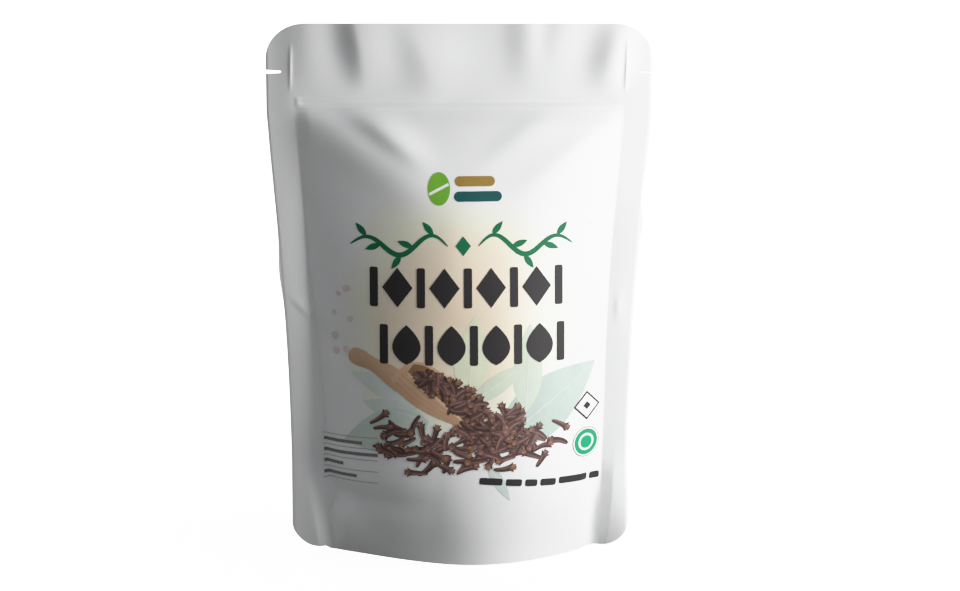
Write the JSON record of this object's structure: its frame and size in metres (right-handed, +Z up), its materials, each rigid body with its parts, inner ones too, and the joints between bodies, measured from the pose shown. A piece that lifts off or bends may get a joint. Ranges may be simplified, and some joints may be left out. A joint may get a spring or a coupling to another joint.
{
  "type": "stand-up pouch",
  "caption": "Sealed white stand-up pouch with a full body, flat header, press-to-close track, tear notches and an opened bottom gusset.",
  "frame": {"origin": "under the middle of the foot, at the centre of the bottom of the pouch's box", "axes": "+X to the right of the printed front, -Y out of the printed front, +Z up towards the header"},
  "size_m": [0.203, 0.084, 0.28],
  "materials": {
    "film": "satin",
    "print_dark": "satin ink on film",
    "print_green": "satin ink on film",
    "print_leaf": "satin ink on film",
    "print_warm": "satin ink on film",
    "print_brown": "satin ink on film"
  },
  "bodies": {
    "root": {"pouch": "film"}
  },
  "joints": []
}
